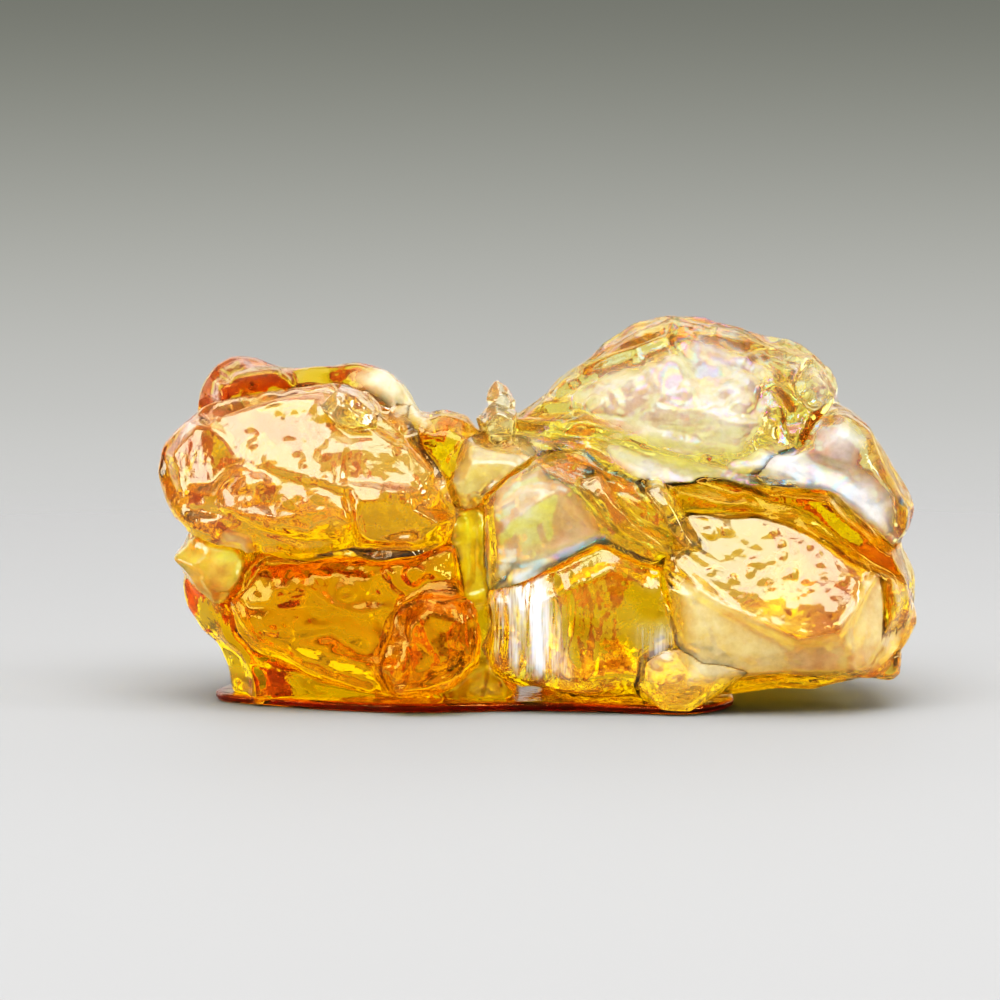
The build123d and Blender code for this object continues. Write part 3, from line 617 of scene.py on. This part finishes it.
def flow(p, way):
    """Fine flow lines: down the striated block and the web, and fanning out from the neck."""
    flat = apparent(p)
    x, z = flat[:, 0], flat[:, 1]
    wobble = noise(p, 1.8, 7)
    front = ease(way @ TO_CAMERA, 0.0, 0.3)
    fall = x + 0.09 * (z - 2.8) ** 2 + 0.1 * wobble
    block = ease(x, -2.1, -1.8) * (1 - ease(x, 1.2, 4.6)) * ease(z, 0.4, 0.8) * (1 - ease(z, 4.4, 5.2))
    lift = 0.05 * streaks(fall, z, 0.16, 30) * block
    web = ease(x, -3.4, -3.0) * (1 - ease(x, -2.1, -1.7)) * (1 - ease(z, 7.4, 8.4))
    lift += 0.06 * streaks(x + 0.4 * wobble, z, 0.16, 32) * web
    angle = np.arctan2(z - 11.6, x + 3.6)
    fan = ease(x, -2.0, -0.6) * (1 - ease(x, 6.5, 8.8)) * ease(angle, -0.75, -0.6)
    fan *= 1 - ease(angle, -0.12, -0.02)
    lift += 0.06 * streaks(angle * 8 + 0.1 * wobble, x, 0.22, 34) * fan
    rings = inside(flat, [(-1.6, 8.3), (0.0, 9.1), (1.8, 8.1), (2.7, 6.4), (0.4, 5.2), (-1.8, 4.5)], 0.4)
    lift += 0.01 * np.sin(noise(p, 2.6, 8) * 22) * rings
    return lift * front


def relaxed(mesh, p, rounds, share):
    """Points drawn towards the mean of their neighbours where share is 1."""
    flat = np.empty(len(mesh.edges) * 2, np.int32)
    mesh.edges.foreach_get("vertices", flat)
    a, b = flat[0::2], flat[1::2]
    count = np.bincount(flat, minlength=len(p))[:, None]
    for _ in range(rounds):
        total = [np.bincount(a, p[b, k], len(p)) + np.bincount(b, p[a, k], len(p)) for k in range(3)]
        p = p + 0.5 * share[:, None] * (np.stack(total, 1) / count - p)
    return p


def weather(node, mesh):
    """Lays the nugget's bare faces on the carved hull and grains them. Returns how bare each vertex is."""
    strength = SIZES[node][3]
    p = vectors(mesh.vertices, "co")
    near = [
        (tree, low, high) for other, (tree, low, high) in solids.items()
        if other != node and (low < p.max(0) + REACH).all() and (high > p.min(0) - REACH).all()
    ]
    clear = clearance(p, near)
    if node in NUGGETS:
        place, way, depth = shared_skin(p)
        near_skin = 1 - ease(depth, 0.12, 0.55)
        lip = ease(-clear, 0.02, 0.14)
        p = p + (place - p) * near_skin[:, None]
        p = relaxed(mesh, p, 4, np.clip(lip + 0.15, 0, 1) * near_skin)
        fine = grain(place, strength) + flow(place, way) - 0.03 * lip
        p = p + way * (fine * near_skin)[:, None]
        bare = ease(clear, -0.02, 0.06) * near_skin
    else:
        n = vectors(mesh.vertex_normals, "vector")
        bare = ease(clear, -0.05, 0.3)
        p = p + n * ((0.06 * noise(p, 1.4, 6) * (strength > 0) + grain(p, strength)) * bare)[:, None]
        bare = ease(clear, -0.02, 0.06)
    p[:, 2] = np.maximum(p[:, 2], 0.0)
    put_points(mesh, p)
    return bare


skins = {node: weather(node, mesh) for node, mesh in meshes.items()}


# ---- materials ----
# tints of the mirror gloss, and the weight of the clear coat over each
COOL = (1.0, 0.97, 0.9)
WARM = (1.0, 0.85, 0.6)
DEEP = (1.0, 0.75, 0.35)
RICH = (1.0, 0.7, 0.25)
COATS = {COOL: 0.4, WARM: 0.28, DEEP: 0.08, RICH: 0.0}
FILMED_COAT = 0.15  # the coat's weight where the skin has a rainbow film

# colours of the haze, as display levels from 0 to 255
PEACH = (252, 226, 178)
CREAM = (252, 238, 205)
PEARL = (246, 245, 240)
GOLD = (254, 220, 120)
SUN = (255, 218, 60)
# HONEY: the ear's haze colour, partly a painted glow
HONEY = (255, 232, 120)
ICE = (232, 238, 250)
MINT = (236, 246, 228)
LOOKS = {
    # node: colour of white light after depth mm, that depth, least haze, the haze's colour, the gloss's tint
    "contact_film": ((0.72, 0.21, 0.002), 2.0, 0.0, GOLD, RICH),
    "face_nub": ((0.98, 0.88, 0.5), 5.0, 0.04, CREAM, COOL),
    "upper_splinter": ((0.97, 0.78, 0.10), 3.0, 0.02, GOLD, WARM),
    "lower_splinter": ((0.97, 0.78, 0.10), 3.0, 0.02, GOLD, WARM),
    "front_toe": ((0.97, 0.82, 0.30), 6.0, 0.03, CREAM, WARM),
    "corner_chip": ((0.92, 0.62, 0.05), 2.0, 0.01, GOLD, WARM),
    "ledge_tooth": ((0.98, 0.73, 0.01), 6.0, 0.0, GOLD, RICH),
    # the ear's haze is partly a painted glow that brightens it where the upper nugget shades it
    "side_ear": ((0.99, 0.92, 0.12), 6.0, 0.3, HONEY, WARM),
    "left_upper_nugget": ((0.97, 0.72, 0.01), 6.5, 0.005, PEACH, WARM),
    "left_lower_nugget": ((0.985, 0.66, 0.0001), 6.0, 0.0, GOLD, RICH),
    "neck_fold": ((0.96, 0.80, 0.22), 5.0, 0.02, PEACH, WARM),
    "clear_window": ((0.96, 0.87, 0.42), 9.0, 0.02, MINT, WARM),
    "striated_block": ((0.98, 0.85, 0.04), 9.0, 0.0, ICE, WARM),
    "cloudy_block": ((0.97, 0.77, 0.07), 9.0, 0.01, PEACH, WARM),
    "crumb_tip": ((0.98, 0.90, 0.6), 3.0, 0.06, CREAM, COOL),
    "crumb_base": ((0.97, 0.82, 0.3), 3.0, 0.05, CREAM, COOL),
    "neck_bridge": ((0.96, 0.72, 0.02), 4.5, 0.0, PEACH, DEEP),
    "left_rear_fold": ((0.98, 0.80, 0.01), 3.0, 0.0, CREAM, RICH),
    "right_shoulder": ((0.97, 0.82, 0.34), 8.0, 0.03, ICE, COOL),
    "right_dome": ((0.97, 0.83, 0.20), 9.0, 0.02, PEARL, COOL),
    "melted_foot": ((0.99, 0.79, 0.0001), 3.6, 0.0, GOLD, RICH),
    "amber_core": ((0.96, 0.66, 0.002), 9.0, 0.0, GOLD, RICH),
    "valley_web": ((0.99, 0.82, 0.02), 6.0, 0.2, SUN, WARM),
}

# nodes with a rainbow film on the skin: its thinnest and thickest, in nm
FILMS = {"right_dome": (120.0, 620.0), "right_shoulder": (100.0, 520.0), "clear_window": (180.0, 430.0)}

# nodes whose skin is never hazy
CLEAR = ("contact_film", "ledge_tooth", "left_lower_nugget", "melted_foot", "amber_core")


def absorption(after, depth):
    """Volume Absorption colour and density for white light that turns to after in depth mm."""
    per_metre = [-math.log(max(c, 1e-4)) / (depth * MM) for c in after]
    most = max(per_metre)
    return [1 - s / most for s in per_metre], most


def linear(r, g, b):
    """Display colour 0..255 to scene-linear."""
    return [((v / 255 + 0.055) / 1.055) ** 2.4 if v > 10 else v / 255 / 12.92 for v in (r, g, b)]


class Tree:
    """The nodes of a material or a world, with short ways to add and join them."""

    def __init__(self, owner, space="Object"):
        owner.use_nodes = True
        self.owner = owner
        self.nt = owner.node_tree
        self.out = next(n for n in self.nt.nodes if n.type.startswith("OUTPUT"))
        self.shader = next(n for n in self.nt.nodes if n != self.out)
        self.place = self.add("ShaderNodeTexCoord").outputs[space]

    def put(self, socket, value):
        """Links another node's output to an input, or sets the input to a value."""
        if isinstance(value, bpy.types.NodeSocket):
            self.nt.links.new(value, socket)
        else:
            socket.default_value = value

    def add(self, kind, inputs=(), **settings):
        node = self.nt.nodes.new(kind)
        for name, value in settings.items():
            setattr(node, name, value)
        for name, value in dict(inputs).items():
            self.put(node.inputs[name], value)
        return node

    def noise(self, per_mm, detail, roughness, vector=None, distortion=0.0):
        node = self.add("ShaderNodeTexNoise", {
            "Vector": vector or self.place, "Scale": per_mm / MM,
            "Detail": detail, "Roughness": roughness, "Distortion": distortion,
        })
        return node.outputs["Fac"]

    def remap(self, value, low, high, to_low=0.0, to_high=1.0, kind="LINEAR"):
        node = self.add("ShaderNodeMapRange", {
            "Value": value, "From Min": low, "From Max": high, "To Min": to_low, "To Max": to_high,
        }, interpolation_type=kind)
        return node.outputs["Result"]

    def math(self, operation, a, b, clamp=False):
        node = self.add("ShaderNodeMath", {0: a, 1: b}, operation=operation, use_clamp=clamp)
        return node.outputs["Value"]

    def vector_math(self, operation, *vectors):
        node = self.add("ShaderNodeVectorMath", dict(enumerate(vectors)), operation=operation)
        return node.outputs["Value"]

    def blend(self, share, a, b):
        node = self.add("ShaderNodeMix", data_type="RGBA")
        for name, value in (("Factor", share), ("A", a), ("B", b)):
            self.put(next(s for s in node.inputs if s.name == name and s.enabled), value)
        return next(s for s in node.outputs if s.enabled)

    def attribute(self, name):
        return self.add("ShaderNodeAttribute", attribute_name=name).outputs["Fac"]

    def into(self, name, value):
        """Puts a value into the main shader's input of that name."""
        self.put(self.shader.inputs[name], value)

    def end(self, name, value):
        """Puts a shader into the output's input of that name."""
        self.put(self.out.inputs[name], value)


def rosin(node):
    """Glossy clear resin that darkens with depth, with a thin haze on parts of its bare skin; on the ear and
    the rear fold that haze is partly a painted highlight.
    """
    after, depth, milk, cream, gloss = LOOKS[node]
    film = FILMS.get(node)
    streaky = node == "striated_block"
    t = Tree(bpy.data.materials.new(node))
    t.into("IOR", 1.53)
    t.into("Roughness", 0.015)
    t.into("Specular Tint", (*gloss, 1))
    if COATS[gloss]:
        t.into("Coat Weight", FILMED_COAT if film else COATS[gloss])
        t.into("Coat IOR", 1.75)
        t.into("Coat Roughness", 0.01)
    t.into("Subsurface Weight", 1.0)
    t.into("Subsurface Radius", (1.0, 0.9, 0.7))
    t.into("Subsurface Scale", 0.9 * MM)

    grain = t.place
    if streaky:
        stretched = t.add("ShaderNodeMapping", {"Vector": t.place, "Scale": (6.0, 1.0, 0.35)})
        grain = stretched.outputs["Vector"]
    cloud = t.noise(0.5, 4, 0.6, vector=grain)
    speck = t.noise(1.9, 3, 0.6, vector=grain)
    low, high = (0.0, 2.4) if streaky else (0.7, 1.3)
    patch = t.remap(t.math("ADD", cloud, t.math("MULTIPLY", speck, 0.5)), 0.6, 0.95, low, high)
    # the haze attribute also holds the painted highlights of the ear and the rear fold: they lower the
    # transmission and turn the base colour towards the haze colour
    amount = t.math("MULTIPLY", t.math("ADD", t.attribute("haze"), milk), t.attribute("skin"))
    t.into("Transmission Weight", t.math("SUBTRACT", 1.0, t.math("MULTIPLY", patch, amount), clamp=True))
    warm = t.remap(amount, 0.01, 0.08)
    t.into("Base Color", t.blend(warm, (1, 0.985, 0.95, 1), (*linear(*cream), 1)))
    if film:
        t.into("Thin Film Thickness", t.remap(t.noise(0.33, 2, 0.5, distortion=0.8), 0.4, 0.62, *film))
        t.into("Thin Film IOR", 1.25)

    cells = t.add("ShaderNodeTexVoronoi", {"Vector": t.place, "Scale": 1.7 / MM, "Randomness": 1.0})
    drops = t.remap(cells.outputs["Distance"], 0.12, 0.3, 0.35, 0.0)
    height = t.math("ADD", t.noise(1.3, 3, 0.5), t.math("MULTIPLY", t.noise(5.0, 2, 0.5), 0.25))
    height = t.math("ADD", height, drops)
    bumped = t.add("ShaderNodeBump", {"Strength": 0.3, "Distance": 0.12 * MM, "Height": height})
    t.into("Normal", bumped.outputs["Normal"])

    colour, density = absorption(after, depth)
    volume = t.add("ShaderNodeVolumeAbsorption", {"Color": (*colour, 1), "Density": density})
    t.end("Volume", volume.outputs["Volume"])
    return t.owner


def dress(node, mesh):
    """Makes the nugget's piece from its finished mesh."""
    skin = mesh.attributes.new("skin", "FLOAT", "POINT")
    skin.data.foreach_set("value", skins[node].astype(np.float32))
    # the haze attribute: real haze, with the painted highlights on the ear and the rear fold
    veil = mesh.attributes.new("haze", "FLOAT", "POINT")
    share = haze(vectors(mesh.vertices, "co")) * (node not in CLEAR)
    veil.data.foreach_set("value", share.astype(np.float32))
    trim(mesh)
    mesh.polygons.foreach_set("use_smooth", [True] * len(mesh.polygons))
    mesh.materials.append(rosin(node))
    mesh.transform(Matrix.Scale(MM, 4))
    mesh.update()
    piece = bpy.data.objects.new(node + "_resin", mesh)
    bpy.context.scene.collection.objects.link(piece)
    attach(piece, "root")
    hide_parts(node)


for node, mesh in meshes.items():
    dress(node, mesh)


# ---- stage ----
def sky():
    """A grey sweep behind the lump, paler towards the floor, and two broad soft lights above it."""
    world = bpy.data.worlds.new("studio")
    bpy.context.scene.world = world
    t = Tree(world, "Generated")
    low, high = -0.25, 0.7
    up = t.add("ShaderNodeSeparateXYZ", {"Vector": t.place}).outputs["Z"]
    ramp = t.add("ShaderNodeValToRGB", {"Fac": t.remap(up, low, high)})
    ramp.color_ramp.interpolation = "B_SPLINE"
    # degrees above the horizon, and the colour that the picture shows there
    stops = [
        (-12, (230, 230, 230)), (-8, (224, 224, 224)), (-5.6, (214, 214, 213)), (-3.9, (198, 198, 195)),
        (-1.6, (162, 163, 156)), (0.7, (110, 112, 103)), (4, (96, 98, 92)), (8, (100, 102, 98)),
        (13, (110, 112, 108)), (24, (182, 181, 176)), (40, (212, 210, 205)),
    ]
    marks = ramp.color_ramp.elements
    while len(marks) < len(stops):
        marks.new(0.5)
    before, after = np.transpose(((0, 0), *CONTRAST, (255, 255)))
    for mark, (degrees, colour) in zip(marks, stops):
        mark.position = (math.sin(math.radians(degrees)) - low) / (high - low)
        mark.color = (*linear(*np.interp(colour, after, before)), 1)
    t.into("Color", ramp.outputs["Color"])

    def glow(direction, inner, outer, radiance):
        """A round soft light: full inside inner degrees of direction and gone past outer."""
        near = t.vector_math("DOT_PRODUCT", t.place, Vector(direction).normalized())
        edges = [math.cos(math.radians(angle)) for angle in (outer, inner)]
        return t.remap(near, *edges, 0.0, radiance, kind="SMOOTHSTEP")

    power = t.math("ADD", glow((0.0, -0.6, 1.0), 22, 45, 0.7), glow((0.0, 0.0, 1.0), 15, 50, 0.2))
    sheen = t.add("ShaderNodeBackground", {"Color": (1.0, 0.985, 0.96, 1), "Strength": power})
    both = t.add("ShaderNodeAddShader", {0: t.shader.outputs["Background"], 1: sheen.outputs["Background"]})
    t.end("Surface", both.outputs["Shader"])


def floor():
    """A pale round floor that fades out into the sweep."""
    bpy.ops.mesh.primitive_circle_add(vertices=96, radius=0.4, fill_type="NGON", location=(0, 0, -0.01 * MM))
    disc = bpy.context.object
    disc.name = "floor"
    t = Tree(bpy.data.materials.new("floor"))
    t.into("Base Color", (0.266, 0.266, 0.268, 1))
    t.into("Roughness", 0.6)
    t.into("Specular IOR Level", 0.1)
    fade = t.remap(t.vector_math("LENGTH", t.place), 0.03, 0.14, kind="SMOOTHSTEP")
    clear = t.add("ShaderNodeBsdfTransparent")
    mix = t.add("ShaderNodeMixShader", {0: fade, 1: t.shader.outputs["BSDF"], 2: clear.outputs["BSDF"]})
    t.end("Surface", mix.outputs["Shader"])
    disc.data.materials.append(t.owner)


def softbox(name, size, place, power):
    """A rectangular light aimed at the lump, sizes and places in metres."""
    lamp = bpy.data.lights.new(name, "AREA")
    lamp.shape = "RECTANGLE"
    lamp.size, lamp.size_y = size
    lamp.energy = power
    box = bpy.data.objects.new(name, lamp)
    box.location = place
    box.rotation_euler = (Vector((0, 0, 7 * MM)) - Vector(place)).to_track_quat("-Z", "Y").to_euler()
    box.visible_camera = False
    bpy.context.scene.collection.objects.link(box)


sky()
floor()
softbox("top", (0.26, 0.16), (0.0, -0.12, 0.22), 0.92)
softbox("zenith", (0.22, 0.14), (0.02, 0.06, 0.27), 0.22)
softbox("front_left", (0.05, 0.10), (-0.17, -0.15, 0.13), 0.06)
softbox("right", (0.05, 0.09), (0.20, -0.06, 0.12), 0.22)
softbox("back_high", (0.50, 0.12), (0.0, 0.26, 0.15), 0.2)
softbox("back_left", (0.22, 0.22), (-0.24, 0.20, 0.05), 0.2)
softbox("back_right", (0.22, 0.22), (0.24, 0.20, 0.05), 0.2)
softbox("left_low", (0.10, 0.08), (-0.22, -0.05, 0.02), 0.2)
softbox("back_low", (0.60, 0.16), (0.0, 0.34, 0.0), 0.13)

# ---- camera ----
camera = bpy.data.cameras.new("camera")
camera.lens = 180
camera.sensor_width = 36
camera.clip_start = 0.001
eye = bpy.data.objects.new("camera", camera)
target = Vector((AIM[0], 0, AIM[1])) * MM
eye.location = target + Vector(TO_CAMERA) * CAMERA_DISTANCE * MM
eye.rotation_euler = (math.pi / 2 - CAMERA_TILT, 0, 0)
bpy.context.scene.collection.objects.link(eye)
bpy.context.scene.camera = eye


def contrast():
    """Lays the S-curve over the picture."""
    settings = bpy.context.scene.view_settings
    settings.view_transform = "Standard"
    settings.use_curve_mapping = True
    curve = settings.curve_mapping.curves[3]
    for before, after in CONTRAST:
        curve.points.new(linear(before, 0, 0)[0], linear(after, 0, 0)[0])
    settings.curve_mapping.update()


contrast()
scene = bpy.context.scene
scene.cycles.max_bounces = 24
scene.cycles.transmission_bounces = 24
scene.cycles.glossy_bounces = 8
scene.cycles.use_denoising = True
